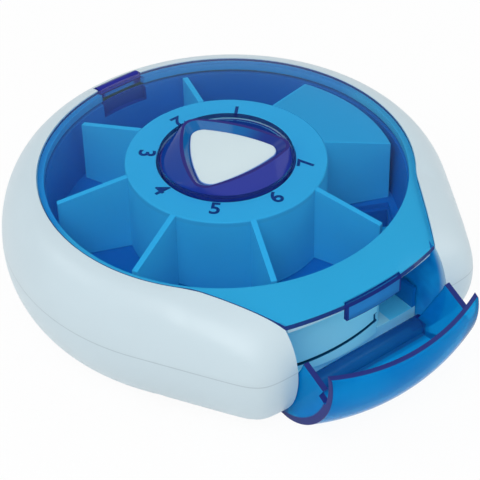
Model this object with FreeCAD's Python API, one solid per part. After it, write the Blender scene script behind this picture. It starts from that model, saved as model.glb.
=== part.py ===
"""Push-button pill dispenser: a seven-day rotor in a white shell, a clear lid and a scoop door.

Millimetres. The origin is on the rotor's axis at the resting plane, +Z up, the door towards -Y.
Each sub-part has its own function and goes to parts/NODE.step.
"""
import FreeCAD, Part

import math
import os

from FreeCAD import Vector

# ---------------------------------------------------------------- driving dimensions
# shell
TOP_Z = 36.0               # the lid's round edge, flush with the shell's top
WAIST_Z = 18.0             # height of the widest section
LID_R = 50.0               # the lid's round edge
SHELL_R = 61.0             # the shell's waist
BASE_R = 48.0              # edge of the flat base
HORN_REACH = 60.4          # front of the horns at the waist
HORN_TOP_REACH = 46.0      # front of the horns' profile at the top
FLANK_ANGLE = 60.0         # tangent points of the straight flanks, from the front
CORNER_SHARPNESS = 32.0    # exponent that rounds the horns' corners
WALL = 2.0                 # shell wall
PARTING_Z = 20.0           # where the two shells meet
SHELL_SECTIONS = 8         # sections of each half's surface
MOUTH_HALF = 24.5          # half the width between the horns
HORN_WALL = 2.0            # end wall of each horn
MOUTH_FLOOR_Y = -49.6      # front edge of the lower housing's floor between the horns

# lid
LID_RISE = 4.0             # rise of the dome from its round edge to the centre
LID_T = 1.5                # lid thickness
LID_FLANK = 48.7           # distance of the lid's straight flanks from the axis
LID_BLEND_R = 25.0         # concave blend between round edge and flank
LID_CORNER_X = 24.4        # front corner of the lid
LID_FRONT_Y = -59.2        # middle of the lid's front edge
LID_GAP = 0.2              # gap round the lid in its rebate
LID_REAR_GAP = 0.2         # more gap at the back, where the lid's edge swings
LID_SEAT_GAP = 0.1         # air under the lid
DECK_T = 2.0               # front deck and ledge under the lid
DECK_INSET = 1.2           # deck edge behind the lid's front edge
PULL_HALF = 9.0            # half the width of the front pull tab
PULL_T = 1.2               # its thickness
PULL_X = 1.4               # its middle, a little towards the chute's mouth
PULL_BOTTOM_Z = 26.0       # its lower edge
PULL_SETBACK = 0.3         # how far it stands behind the lid's front edge
HINGE_TAB_HALF = 6.8       # half the width of the rear hinge tab
LID_PIN_R = 0.5            # lid hinge pin
LID_PIN_Y = LID_R + 0.9    # its place behind the axis
LID_PIN_DROP = 0.9         # its depth under the lid's round edge
LID_KNUCKLE_R = 1.1        # knuckle round the pin
NOTCH_GAP = 0.35           # air round the knuckle in its notch
LID_PIN_GRIP = 2.5         # pin length held in the housing at each side

# rotor
STATIONS = 8
WELL_R = 47.9              # cup wall at its top
WELL_FLOOR_R = 47.0        # cup wall at its floor
CUP_WALL = 1.5
CUP_GAP = 0.3              # air between the cup and what stands round it
CUP_TOP_DROP = 4.0         # cup rim below the lid's edge
CUP_FLOOR_Z = 15.0         # top of the cup's floor
CUP_FLOOR_T = 1.5
OUTLET_ANGLE = -45.0       # direction of the outlet in the cup's floor
OUTLET_HALF_ANGLE = 19.0
OUTLET_R0 = 29.0
OUTLET_R1 = 45.0
HUB_R = 26.85
HUB_WALL = 2.0
HUB_TOP_Z = 37.9           # face of the dial ring
DIAL_T = 1.5
DIAL_BORE_R = 18.6
DIAL_SPIGOT = 1.5
VANE_T = 1.5
VANE_R = 45.7
VANE_END_Z = 33.3          # top edge of a vane at its outer end
FIRST_VANE = 22.5          # the closed sector spans -22.5 to 22.5 degrees
COVER_T = 1.5
FLOAT = 0.2                # air under the rotor
WEB_T = 2.0

# drive
RUN = 0.06                 # radial clearance of running fits
SLIP = 0.1                 # clearance between faces that slide
SPINDLE_R = 4.0
FLANGE_R = 9.0
FLANGE_T = 3.0
TENON_R = 3.0
HEX_AF = 6.8
HEX_Z0 = 27.0
SPINDLE_TOP_Z = 32.5
WASHER_T = 0.6
WASHER_R = 6.0
CAM_BORE_GAP = 0.06
CAM_R = 11.8
CAM_WALL = 1.6
CAM_BASE_T = 1.5
CAM_TOP_Z = 27.2
LUG_R = 1.0
LUG_Z = 24.3               # lug centres with the button up
SLOT_GAP = 0.15
BUTTON_TRAVEL = 3.5
STEP_ANGLE = 360.0 / STATIONS
RATCHET_R0 = 13.5
RATCHET_R1 = 18.0
RATCHET_T = 1.0
TOOTH_H = 0.8
TOOTH_L = 8.5
PAWL_T = 1.0
PAWL_RING_W = 1.1
PAWL_ARM_W = 2.4
PAWL_SWEEP = 55.0

# button
BUTTON_R = 17.5
BUTTON_WALL = 1.6
BUTTON_FLOOR_T = 1.5
BUTTON_SHOULDER_Z = 38.4   # where the round skirt turns into the triangle
BUTTON_TOP_Z = 41.0
RIM_CORNER_R = 17.0        # reach of the triangle's corners at the rim
RIM_SIDE_R = 12.0          # reach of its sides
PAD_CORNER_R = 13.4
PAD_SIDE_R = 9.3
CORNER_ROUND = 3.5
PAD_SEAT_Z = 38.5
PAD_TOP_Z = 39.6
PAD_SEAT_LEDGE = 1.5
RIM_LIP = 1.0              # width of the flat rim round the triangle
RIM_SLOPE_Z = 39.2         # foot of the rim's inner slope, at the pad's edge
TUBE_R = 9.8               # guide tube that carries the lugs
TUBE_WALL = 1.2
TUBE_BOTTOM_Z = 23.3

# springs and detent
SPRING_R = 6.4             # return spring, wire centre
SPRING_WIRE_R = 0.5
SPRING_TURNS = 5.5
COIL_RUNS = 14             # straight runs in each turn of a coil
BALL_R = 2.0
BALL_TRACK_R = 21.5
BALL_RISE = 0.7            # how far the ball stands above the cup's floor top
DIMPLE_DEPTH = 0.5         # how much deeper the web's dimples are than its ball groove
DETENT_ANGLE = 90.0
DETENT_SPRING_R = 1.2
DETENT_WIRE_R = 0.25
DETENT_TURNS = 5
DETENT_POST_R = 3.4
DETENT_POCKET_FLOOR_Z = 4.0

# door
DOOR_OPEN_ANGLE = 31.5     # from closed to the modelled open pose
DOOR_HALF = 24.0
DOOR_PIN_Y = -52.5
DOOR_PIN_Z = 3.0
DOOR_PIN_R = 1.0
DOOR_BARREL_R = 2.5
DOOR_PIN_IN_BARREL = 3.0
DOOR_WALL = 1.5
DOOR_RIM_Z = 32.5          # rim of the closed door
DOOR_REACH = 67.2          # waist of the closed door from the rotor's axis
DOOR_TOP_REACH = 55.2      # its profile's reach at the top
DOOR_FOOT_REACH = 55.8     # and at the foot
DOOR_CHEEK_T = 1.6
CHEEK_TOP_Z = 26.2         # top of the closed door's cheeks
CHEEK_REAR_Y = -49.6       # rear top corner of the cheeks, door closed
CHEEK_NOTCH = 3.5          # gap between cheek and rim
FLOOR_GAP = 0.3            # air under the open door

# screws and bosses
SCREW_SHANK_R = 1.2
SCREW_HEAD_R = 2.6
SCREW_HEAD_T = 1.8
HOUSING_HEAD_Z = 9.4       # head seats of the housing screws, up their wells
SCREW_LENGTH = 14.5
BOSS_R = 4.2
BOSS_PITCH_R = SHELL_R - 6.4  # bosses stand in the shell just inside its waist
BOSS_ANGLES = (35.0, 145.0, 215.0, 325.0)
BOSS_BORE_GAP = 0.1
SCREW_BITE = 5.0           # blind bore in the upper bosses
HEAD_GAP = 0.2
TENON_FLOOR_Z = 6.0
CENTRE_BOSS_R = 9.5
FLANGE_SCREW_PITCH_R = 6.3 # the two screws that hold the spindle
FLANGE_SCREW_R = 0.9
FLANGE_HEAD_R = 1.8
FLANGE_HEAD_T = 1.4
FLANGE_SCREW_LENGTH = 8.0
FLANGE_SCREW_ANGLES = (45.0, 225.0)
NICHE_HALF = 7.0           # niche in the cup's wall below the lid's hinge
NICHE_DEPTH = 1.0
NICHE_LOW_Z = 28.0
RIB_T = 1.5
RIB_R = 41.0
RIB_END_Y = -15.0          # the rib stops where the chute begins

# chute
CHUTE_FLOOR_T = 1.5
CHUTE_MOUTH_Z = 6.6        # top of the chute's floor at the mouth
CHUTE_FALL = 1.2           # rise of the floor from the mouth to the outlet
CHUTE_FRONT_Y = -49.5
PANEL_R = 50.0             # inner radius of the front panel
PANEL_T = 1.3
PANEL_END_X = 9.8          # right end of the panel, where the mouth starts
CHUTE_WALL_T = 1.2
CORNER_R = 5.2             # rounded corner from the panel's end into the chute
CORNER_Y = -43.5           # centre of that corner
SILL_Z = 6.0               # underside of the sill below the panel
SLIT_GAP = 0.6             # slit between the panel and its sill
SLIT_LEFT_Z = 7.6          # the slit rises from left to right
SLIT_RIGHT_Z = 10.8
SLIT_TOP_Z = 13.2          # and turns up beside the corner
SILL_DEPTH = 2.6           # the sill's width behind the panel's outer face

EDGE = 0.4                 # small edge breaks

# ---------------------------------------------------------------- derived sizes
HUB_TOP_SEAT_Z = HUB_TOP_Z - DIAL_T
CUP_TOP_Z = TOP_Z - CUP_TOP_DROP
CUP_UNDER_Z = CUP_FLOOR_Z - CUP_FLOOR_T
ROTOR_Z = CUP_FLOOR_Z + FLOAT
WEB_TOP_Z = ROTOR_Z + WEB_T
FLANGE_TOP_Z = CUP_FLOOR_Z + FLANGE_T
FLANGE_HEAD_Z = FLANGE_TOP_Z - FLANGE_HEAD_T - 0.1
CAM_Z = FLANGE_TOP_Z + SLIP
CAM_BASE_TOP_Z = CAM_Z + CAM_BASE_T
BUTTON_FLOOR_Z = SPINDLE_TOP_Z - BUTTON_FLOOR_T
WELL_MOUTH_R = WELL_R + 0.4
DOME_REACH = SHELL_R + 5.0  # the dome surface is drawn past the shell
FLANK_DIR = Vector(-math.sin(math.radians(30)), -math.cos(math.radians(30)), 0)
FLANK_NORMAL = Vector(math.cos(math.radians(30)), -math.sin(math.radians(30)), 0)
FAR = 200.0


# ---------------------------------------------------------------- small helpers
def cylinder(radius, z0, z1, x=0.0, y=0.0):
    return Part.makeCylinder(radius, z1 - z0, Vector(x, y, z0))


def tube(outer, inner, z0, z1, x=0.0, y=0.0):
    return cylinder(outer, z0, z1, x, y).cut(cylinder(inner, z0 - 1, z1 + 1, x, y))


def block(x0, y0, z0, x1, y1, z1):
    return Part.makeBox(x1 - x0, y1 - y0, z1 - z0, Vector(x0, y0, z0))


def bar_x(radius, x0, x1, y, z):
    return Part.makeCylinder(radius, x1 - x0, Vector(x0, y, z), Vector(1, 0, 0))


def turned(points):
    """Solid of revolution about Z from (r, z) corners."""
    corners = [Vector(r, 0, z) for r, z in points]
    face = Part.Face(Part.makePolygon(corners + corners[:1]))
    return face.revolve(Vector(0, 0, 0), Vector(0, 0, 1), 360)


def rotated(shape, angle, axis=Vector(0, 0, 1), centre=Vector(0, 0, 0)):
    copy = shape.copy()
    copy.rotate(centre, axis, angle)
    return copy


def mirrored(shape):
    return shape.mirror(Vector(0, 0, 0), Vector(1, 0, 0))


def fused(shapes):
    first, rest = shapes[0], shapes[1:]
    return first.fuse(rest).removeSplitter() if rest else first


def polar(radius, angle, z=0.0):
    return Vector(radius * math.cos(math.radians(angle)), radius * math.sin(math.radians(angle)), z)


def sector(angle, half_angle, z0, z1):
    """Wedge prism about Z, wide enough for every part."""
    left, right = polar(FAR, angle + half_angle, z0), polar(FAR, angle - half_angle, z0)
    face = Part.Face(Part.makePolygon([Vector(0, 0, z0), right, left, Vector(0, 0, z0)]))
    return face.extrude(Vector(0, 0, z1 - z0))


def prism(wire, z0, z1):
    face = Part.Face(wire)
    face.translate(Vector(0, 0, z0))
    return face.extrude(Vector(0, 0, z1 - z0))


# ---------------------------------------------------------------- shell surface
def ellipse_reach(z, rise, base, bulge):
    """Reach at height z of an elliptical profile: base at the rise's end, fullest at the waist."""
    share = min(1.0, abs(z - WAIST_Z) / rise)
    return base + bulge * math.sqrt(1.0 - share * share)


def dome_reach(z):
    """Radius at which the lid's dome has fallen to height z."""
    return LID_R * ((LID_RISE + TOP_Z - z) / LID_RISE) ** 0.25


def dome_z(radius):
    return TOP_Z + LID_RISE * (1.0 - (radius / LID_R) ** 4)


def section_reaches(z, inset):
    """Side, front and dome reach of the shell's section at height z, inset from the outer face."""
    upper = z >= WAIST_Z
    rise = (TOP_Z - WAIST_Z if upper else WAIST_Z) - inset
    side_base = LID_R if upper else BASE_R
    front_base = HORN_TOP_REACH if upper else BASE_R
    side = ellipse_reach(z, rise, side_base, SHELL_R - side_base - inset)
    front = ellipse_reach(z, rise, front_base, HORN_REACH - front_base - inset)
    return side, front, dome_reach(min(z + inset, TOP_Z))


def plan_reach(from_front, side, front, dome):
    """Distance of the outline from the axis, in the direction that many degrees from the front."""
    past_flank = max(0.0, FLANK_ANGLE - from_front)
    reaches = [side / math.cos(math.radians(past_flank))]
    reaches.append(dome * (1.0 + 0.01 * max(0.0, from_front - 48.0)))
    if from_front < 80.0:
        reaches.append(front / math.cos(math.radians(from_front)))
    total = sum(reach ** -CORNER_SHARPNESS for reach in reaches)
    return total ** (-1.0 / CORNER_SHARPNESS)


def section_wire(z, inset):
    """Closed outline at height z, with closer points round the horns than round the back."""
    side, front, dome = section_reaches(z, inset)
    headings = [3.0 * k for k in range(-24, 25)] + [81.0 + 9.0 * k for k in range(23)]
    points = []
    for heading in headings:
        reach = plan_reach(abs((heading + 180) % 360 - 180), side, front, dome)
        turn = math.radians(heading)
        points.append(Vector(reach * math.sin(turn), -reach * math.cos(turn), z))
    curve = Part.BSplineCurve()
    curve.interpolate(Points=points, PeriodicFlag=True)
    return Part.Wire([curve.toShape()])


def shell_half(inset, z_end):
    """The shell's body from the parting plane to z_end: its outer face, or its inside when inset."""
    wires = []
    first = math.degrees(math.asin((PARTING_Z - WAIST_Z) / abs(z_end - WAIST_Z)))
    last = 90.0 if z_end > WAIST_Z else -90.0
    for k in range(SHELL_SECTIONS):
        turn = math.radians(first + (last - first) * k / (SHELL_SECTIONS - 1.0))
        wires.append(section_wire(WAIST_Z + abs(z_end - WAIST_Z) * math.sin(turn), inset))
    return Part.makeLoft(wires, True, False)


def under_dome(drop, z0=-5.0):
    """Everything below the lid's top surface less a drop."""
    radii = [DOME_REACH * share for share in (0.0, 0.18, 0.36, 0.52, 0.64, 0.76, 0.85, 0.92, 1.0)]
    points = [Vector(radius, 0, dome_z(radius) - drop) for radius in radii]
    curve = Part.BSplineCurve()
    curve.interpolate(points)
    low_in, low_out = Vector(0, 0, z0), Vector(radii[-1], 0, z0)
    edges = [curve.toShape(), Part.makeLine(points[-1], low_out),
             Part.makeLine(low_out, low_in), Part.makeLine(low_in, points[0])]
    return Part.Face(Part.Wire(edges)).revolve(Vector(0, 0, 0), Vector(0, 0, 1), 360)


def arc_through(start, middle, end):
    return Part.Arc(start, middle, end).toShape()


def lid_outline(offset):
    """The lid's plan outline: round at the back, two flanks and a curved front edge."""
    radius, flank = LID_R + offset, LID_FLANK + offset
    blend = LID_BLEND_R - offset
    along = math.sqrt((radius + blend) ** 2 - (flank + blend) ** 2)
    centre = FLANK_NORMAL * (flank + blend) + FLANK_DIR * along
    on_circle = centre * (radius / (radius + blend))
    on_flank = centre - FLANK_NORMAL * blend
    middle = centre - (centre * (1.0 / centre.Length) + FLANK_NORMAL).normalize() * blend
    corner_x = LID_CORNER_X + offset
    reach = (flank - corner_x * FLANK_NORMAL.x) / -FLANK_NORMAL.y
    corner = Vector(corner_x, -reach, 0)

    def flipped(point):
        return Vector(-point.x, point.y, 0)

    front = Vector(0, LID_FRONT_Y - offset, 0)
    edges = [arc_through(on_circle, Vector(0, radius, 0), flipped(on_circle)),
             arc_through(flipped(on_circle), flipped(middle), flipped(on_flank)),
             Part.makeLine(flipped(on_flank), flipped(corner)),
             arc_through(flipped(corner), front, corner),
             Part.makeLine(corner, on_flank),
             arc_through(on_flank, middle, on_circle)]
    return Part.Wire(edges)


def mouth_box(z0, z1, rear=MOUTH_FLOOR_Y):
    return block(-MOUTH_HALF, -FAR, z0, MOUTH_HALF, rear, z1)


def horn_walls():
    """Slabs that close the horns' ends towards the mouth."""
    rear = -math.sqrt((WELL_R + CUP_WALL + CUP_GAP) ** 2 - MOUTH_HALF ** 2)
    slab = block(MOUTH_HALF, -FAR, -5, MOUTH_HALF + HORN_WALL, rear, TOP_Z)
    return [slab, mirrored(slab)]


# ---------------------------------------------------------------- housing
def boss_places():
    return [polar(BOSS_PITCH_R, angle) for angle in BOSS_ANGLES]


def notch_box(extra):
    half = HINGE_TAB_HALF + extra
    low = TOP_Z - LID_PIN_DROP - LID_KNUCKLE_R - extra
    rear = LID_PIN_Y + LID_KNUCKLE_R + extra
    return block(-half, LID_PIN_Y - LID_KNUCKLE_R - 3, low, half, rear, TOP_Z + 2)


def upper_housing():
    seat = under_dome(LID_T + LID_SEAT_GAP)
    ceiling = under_dome(LID_T + LID_SEAT_GAP + DECK_T)
    deck_zone = block(-MOUTH_HALF - 1, -FAR, PARTING_Z + 5, MOUTH_HALF + 1, -PANEL_R + 5, FAR)
    deck = prism(lid_outline(-DECK_INSET), 0, FAR).common(deck_zone).common(seat)
    body = shell_half(0, TOP_Z).fuse(deck)
    kept = [cylinder(BOSS_R, 0, FAR, p.x, p.y) for p in boss_places()] + horn_walls()
    hollow = shell_half(WALL, TOP_Z - WALL).common(ceiling).cut(kept)
    mouth = mouth_box(0, FAR, -PANEL_R + 8).common(ceiling)
    before_deck = mouth_box(0, FAR, 0).cut(prism(lid_outline(-DECK_INSET), -1, FAR + 1))
    pull_zone = block(PULL_X - PULL_HALF - CUP_GAP, -FAR, 0, PULL_X + PULL_HALF + CUP_GAP, 0, FAR)
    before_pull = pull_zone.cut(prism(lid_outline(-PULL_SETBACK - PULL_T - CUP_GAP), -1, FAR + 1))
    outline = prism(lid_outline(LID_GAP), 0, FAR)
    shifted = outline.copy()
    shifted.translate(Vector(0, LID_REAR_GAP, 0))
    rebate = outline.fuse(shifted.common(block(-FAR, 0, 0, FAR, FAR, FAR))).cut(seat)
    ledge_gap = block(-NICHE_HALF, 0, CUP_TOP_Z - 1, NICHE_HALF, LID_PIN_Y - LID_KNUCKLE_R, TOP_Z)
    bores = [cylinder(SCREW_SHANK_R, 0, PARTING_Z + SCREW_BITE, p.x, p.y) for p in boss_places()]
    pin = bar_x(LID_PIN_R, -lid_pin_half(), lid_pin_half(), LID_PIN_Y, TOP_Z - LID_PIN_DROP)
    well = cylinder(WELL_MOUTH_R, 0, FAR)
    return body.cut([hollow, mouth, before_deck, before_pull, rebate, well, ledge_gap, notch_box(NOTCH_GAP), pin] + bores)


def lower_housing():
    post = polar(BALL_TRACK_R, DETENT_ANGLE)
    rib = tube(RIB_R + RIB_T, RIB_R, 0, CUP_UNDER_Z).common(block(-FAR, RIB_END_Y, 0, FAR, FAR, FAR))
    kept = [cylinder(BOSS_R, 0, FAR, p.x, p.y) for p in boss_places()] + horn_walls()
    kept += [cylinder(CENTRE_BOSS_R, 0, CUP_UNDER_Z), rib,
             cylinder(DETENT_POST_R, 0, CUP_UNDER_Z, post.x, post.y)]
    hollow = shell_half(WALL, WALL).cut(kept)
    cuts = [hollow, mouth_box(-5, FAR), cylinder(TENON_R, TENON_FLOOR_Z, FAR),
            cylinder(BALL_R + RUN, DETENT_POCKET_FLOOR_Z, FAR, post.x, post.y)]
    for place in boss_places():
        cuts.append(cylinder(SCREW_SHANK_R + BOSS_BORE_GAP, -1, FAR, place.x, place.y))
        cuts.append(cylinder(SCREW_HEAD_R + HEAD_GAP, -1, HOUSING_HEAD_Z, place.x, place.y))
    pilot_z = FLANGE_HEAD_Z - FLANGE_SCREW_LENGTH - 0.5
    cuts += [cylinder(FLANGE_SCREW_R, pilot_z, FAR, p.x, p.y) for p in flange_screw_places()]
    reach = MOUTH_HALF + HORN_WALL
    cuts.append(bar_x(DOOR_PIN_R, -reach, reach, DOOR_PIN_Y, DOOR_PIN_Z))
    return shell_half(0, 0.0).cut(cuts)


def flange_screw_places():
    return [polar(FLANGE_SCREW_PITCH_R, angle) for angle in FLANGE_SCREW_ANGLES]


def flange_holes():
    """Clearance holes and head recesses of the spindle's two screws."""
    holes = []
    for p in flange_screw_places():
        holes.append(cylinder(FLANGE_SCREW_R + BOSS_BORE_GAP, 0, FAR, p.x, p.y))
        holes.append(cylinder(FLANGE_HEAD_R + HEAD_GAP, FLANGE_HEAD_Z, FAR, p.x, p.y))
    return holes


# ---------------------------------------------------------------- cup and chute
def inner_cup():
    outside = turned([(0, CUP_UNDER_Z), (WELL_FLOOR_R + CUP_WALL, CUP_UNDER_Z),
                      (WELL_R + CUP_WALL, CUP_TOP_Z), (0, CUP_TOP_Z)])
    inside = turned([(0, CUP_FLOOR_Z), (WELL_FLOOR_R, CUP_FLOOR_Z),
                     (WELL_R, CUP_TOP_Z + 1), (0, CUP_TOP_Z + 1)])
    cup = outside.cut(inside)
    outlet = tube(OUTLET_R1, OUTLET_R0, CUP_UNDER_Z - 1, CUP_FLOOR_Z + 1)
    cup = cup.cut(outlet.common(sector(OUTLET_ANGLE, OUTLET_HALF_ANGLE, 0, TOP_Z)))
    cup = cup.cut(cylinder(TENON_R + RUN, 0, TOP_Z))
    post = polar(BALL_TRACK_R, DETENT_ANGLE)
    cup = cup.cut(cylinder(BALL_R + RUN, 0, TOP_Z, post.x, post.y))
    niche = cylinder(WELL_R + NICHE_DEPTH, NICHE_LOW_Z, FAR)
    niche = niche.common(block(-NICHE_HALF, 0, 0, NICHE_HALF, FAR, FAR))
    return cup.cut([niche] + flange_holes())


def chute_plan():
    """Plan of the chute from the outlet forward to the mouth, without its rounded corner."""
    wall_x = PANEL_END_X + CORNER_R - CHUTE_WALL_T
    mouth_left = Vector(wall_x, CHUTE_FRONT_Y, 0)
    mouth_right = Vector(MOUTH_HALF - CUP_GAP, CHUTE_FRONT_Y, 0)
    right_rear = polar(OUTLET_R1 + 1.0, OUTLET_ANGLE + OUTLET_HALF_ANGLE)
    left_rear = polar(OUTLET_R0 - 1.0, OUTLET_ANGLE - OUTLET_HALF_ANGLE)
    right_low = polar(OUTLET_R0 - 1.0, OUTLET_ANGLE + OUTLET_HALF_ANGLE)
    right_turn = Vector(MOUTH_HALF - CUP_GAP, -42.0, 0)
    left_turn = Vector(wall_x, -41.0, 0)
    return [mouth_left, mouth_right, right_turn, right_rear, right_low, left_rear, left_turn]


def chute_ramp():
    """Everything above the chute's sloping floor."""
    front, rear = CHUTE_FRONT_Y, chute_plan()[4].y
    profile = Part.makePolygon([
        Vector(-FAR, front - 1, CHUTE_MOUTH_Z), Vector(-FAR, rear, CHUTE_MOUTH_Z + CHUTE_FALL),
        Vector(-FAR, rear + FAR, CHUTE_MOUTH_Z + CHUTE_FALL), Vector(-FAR, rear + FAR, FAR),
        Vector(-FAR, front - 1, FAR), Vector(-FAR, front - 1, CHUTE_MOUTH_Z)])
    return Part.Face(profile).extrude(Vector(2 * FAR, 0, 0))


def chute_channel():
    """The way from the outlet to the mouth, with walls and floor."""
    corners = chute_plan()
    wire = Part.makePolygon(corners + corners[:1])
    low = CHUTE_MOUTH_Z - CHUTE_FLOOR_T
    right = corners[1].x
    flare = block(PANEL_END_X, CHUTE_FRONT_Y, low, right, CORNER_Y, CUP_UNDER_Z)
    corner = cylinder(CORNER_R, 0, FAR, PANEL_END_X, CORNER_Y)
    way = block(PANEL_END_X, -FAR, 0, right - CHUTE_WALL_T, CORNER_Y, FAR).cut(corner)
    channel = prism(wire.makeOffset2D(-CHUTE_WALL_T), 0, FAR).fuse(way)
    core = cylinder(CORNER_R - CHUTE_WALL_T, low + CHUTE_FLOOR_T, FAR, PANEL_END_X, CORNER_Y)
    core = core.common(block(0, -FAR, 0, FAR, CORNER_Y, FAR))
    solid = prism(wire, low, CUP_UNDER_Z).fuse(flare)
    return solid.cut(channel.common(chute_ramp())).cut(core)


def panel_slit(left):
    """Slit in the panel's face: along its foot, then up its right end."""
    corners = [(left - 1, SLIT_LEFT_Z), (PANEL_END_X, SLIT_RIGHT_Z), (PANEL_END_X, SLIT_TOP_Z),
               (PANEL_END_X - SLIT_GAP, SLIT_TOP_Z),
               (PANEL_END_X - SLIT_GAP, SLIT_RIGHT_Z + SLIT_GAP), (left - 1, SLIT_LEFT_Z + SLIT_GAP)]
    wire = Part.makePolygon([Vector(x, -FAR, z) for x, z in corners + corners[:1]])
    return Part.Face(wire).extrude(Vector(0, FAR, 0)).cut(cylinder(PANEL_R + EDGE, 0, FAR))


def front_panel():
    """Curved panel under the deck, with a sill at its foot and a lip that stands on the floor."""
    reach = PANEL_R + PANEL_T
    left = -MOUTH_HALF + CUP_GAP
    zone = block(left, -FAR, 0, PANEL_END_X, 0, FAR)
    panel = tube(reach, PANEL_R, SILL_Z, TOP_Z)
    panel = panel.common(under_dome(LID_T + LID_SEAT_GAP + DECK_T + SLIP)).cut(panel_slit(left))
    backing = tube(PANEL_R + EDGE / 2, reach - SILL_DEPTH, SILL_Z, CUP_UNDER_Z)
    shelf = cylinder(reach - SILL_DEPTH / 2, SILL_Z, SILL_Z + CHUTE_FLOOR_T)
    shelf = shelf.common(block(left, -FAR, 0, PANEL_END_X, CORNER_Y, FAR))
    lip = block(left, CHUTE_FRONT_Y, WALL + CUP_GAP + SLIP, MOUTH_HALF - CUP_GAP,
                CHUTE_FRONT_Y + CHUTE_WALL_T, CHUTE_MOUTH_Z)
    return [part.common(zone) for part in (panel, backing, shelf)] + [lip]


def pill_chute():
    low = CHUTE_MOUTH_Z - CHUTE_FLOOR_T
    legs = [cylinder(RIB_T, WALL, low, p.x, p.y) for p in chute_feet()]
    return fused([chute_channel()] + legs + front_panel())


def chute_feet():
    return [polar(OUTLET_R0 + 3.0, OUTLET_ANGLE), polar(OUTLET_R1 - 3.0, OUTLET_ANGLE + 10.0)]


# ---------------------------------------------------------------- lid
def lid_pin_half():
    return HINGE_TAB_HALF + NOTCH_GAP + LID_PIN_GRIP


def lid():
    plate = prism(lid_outline(0), 0, FAR).common(under_dome(0)).cut(under_dome(LID_T))
    plate = plate.cut(cylinder(BUTTON_R + 0.5, 0, FAR))
    pin_z = TOP_Z - LID_PIN_DROP
    outside = prism(lid_outline(-PULL_SETBACK), 0, FAR)
    inside = prism(lid_outline(-PULL_SETBACK - PULL_T), -1, FAR)
    pull = outside.cut(inside)
    pull = pull.common(block(PULL_X - PULL_HALF, -FAR, PULL_BOTTOM_Z, PULL_X + PULL_HALF, 0, FAR))
    pull = pull.common(under_dome(LID_T / 2))
    knuckle = bar_x(LID_KNUCKLE_R, -HINGE_TAB_HALF, HINGE_TAB_HALF, LID_PIN_Y, pin_z)
    web = block(-HINGE_TAB_HALF, LID_R - LID_T, pin_z - LID_KNUCKLE_R / 2,
                HINGE_TAB_HALF, LID_PIN_Y, pin_z + LID_PIN_R)
    bore = bar_x(LID_PIN_R + RUN, -FAR, FAR, LID_PIN_Y, pin_z)
    return fused([plate, pull, web, knuckle]).cut(bore)


def lid_hinge_pin():
    half = lid_pin_half()
    return bar_x(LID_PIN_R, -half, half, LID_PIN_Y, TOP_Z - LID_PIN_DROP)


# ---------------------------------------------------------------- door
def door_profile_reach(z):
    upper = z >= WAIST_Z
    rise = TOP_Z - WAIST_Z if upper else WAIST_Z
    base = DOOR_TOP_REACH if upper else DOOR_FOOT_REACH
    return ellipse_reach(z, rise, base, DOOR_REACH - base)


def door_bowl(inset, z0, z1):
    """Solid of revolution inside the closed door's outer face, less an inset."""
    heights = [z0 + (z1 - z0) * k / 12.0 for k in range(13)]
    points = [Vector(door_profile_reach(z) - inset, 0, z) for z in heights]
    curve = Part.BSplineCurve()
    curve.interpolate(points)
    foot, head = Vector(0, 0, z0), Vector(0, 0, z1)
    edges = [curve.toShape(), Part.makeLine(points[-1], head),
             Part.makeLine(head, foot), Part.makeLine(foot, points[0])]
    return Part.Face(Part.Wire(edges)).revolve(Vector(0, 0, 0), Vector(0, 0, 1), 360)


def door():
    """Modelled closed, then swung out to the open pose."""
    low = 0.6
    bowl = door_bowl(0, low, DOOR_RIM_Z)
    skin = bowl.cut(door_bowl(DOOR_WALL, low - 1, DOOR_RIM_Z + 1))
    width = block(-DOOR_HALF, -FAR, 0, DOOR_HALF, DOOR_PIN_Y, FAR)
    skin = skin.common(width)
    # cheeks: a plate at each end, its top sloping down to a notch behind the rim
    rim_y = -math.sqrt(door_profile_reach(CHEEK_TOP_Z) ** 2 - DOOR_HALF ** 2) + CHEEK_NOTCH
    corners = [(DOOR_PIN_Y + 1.0, DOOR_PIN_Z), (CHEEK_REAR_Y - 0.4, CHEEK_TOP_Z - 3.0),
               (CHEEK_REAR_Y, CHEEK_TOP_Z - 1.0), (rim_y, CHEEK_TOP_Z), (rim_y, CHEEK_TOP_Z - 3.0),
               (-FAR, CHEEK_TOP_Z - 3.0), (-FAR, low), (DOOR_PIN_Y, low)]
    wire = Part.makePolygon([Vector(0, y, z) for y, z in corners + corners[:1]])
    plate = Part.Face(wire).extrude(Vector(DOOR_CHEEK_T, 0, 0))
    plate.translate(Vector(DOOR_HALF - DOOR_CHEEK_T, 0, 0))
    plate = plate.common(bowl)
    barrel = bar_x(DOOR_BARREL_R, -DOOR_HALF, DOOR_HALF, DOOR_PIN_Y, DOOR_PIN_Z)
    lid_edge = prism(lid_outline(LID_GAP), 0, FAR).cut(under_dome(LID_T + LID_SEAT_GAP))
    closed = fused([skin, plate, mirrored(plate), barrel]).cut(lid_edge)
    hinge = Vector(0, DOOR_PIN_Y, DOOR_PIN_Z)
    opened = rotated(closed, DOOR_OPEN_ANGLE, Vector(1, 0, 0), hinge)
    floor_zone = block(-DOOR_HALF, -FAR, FLOOR_GAP, DOOR_HALF, DOOR_PIN_Y, FLOOR_GAP + DOOR_WALL)
    floor = rotated(bowl, DOOR_OPEN_ANGLE, Vector(1, 0, 0), hinge).common(floor_zone)
    opened = opened.common(block(-FAR, -FAR, FLOOR_GAP, FAR, FAR, FAR)).fuse(floor)
    for side in (-1, 1):
        x0, x1 = sorted((side * (DOOR_HALF - DOOR_PIN_IN_BARREL - 0.3), side * (DOOR_HALF + 1)))
        opened = opened.cut(bar_x(DOOR_PIN_R + RUN, x0, x1, DOOR_PIN_Y, DOOR_PIN_Z))
    return opened


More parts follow.
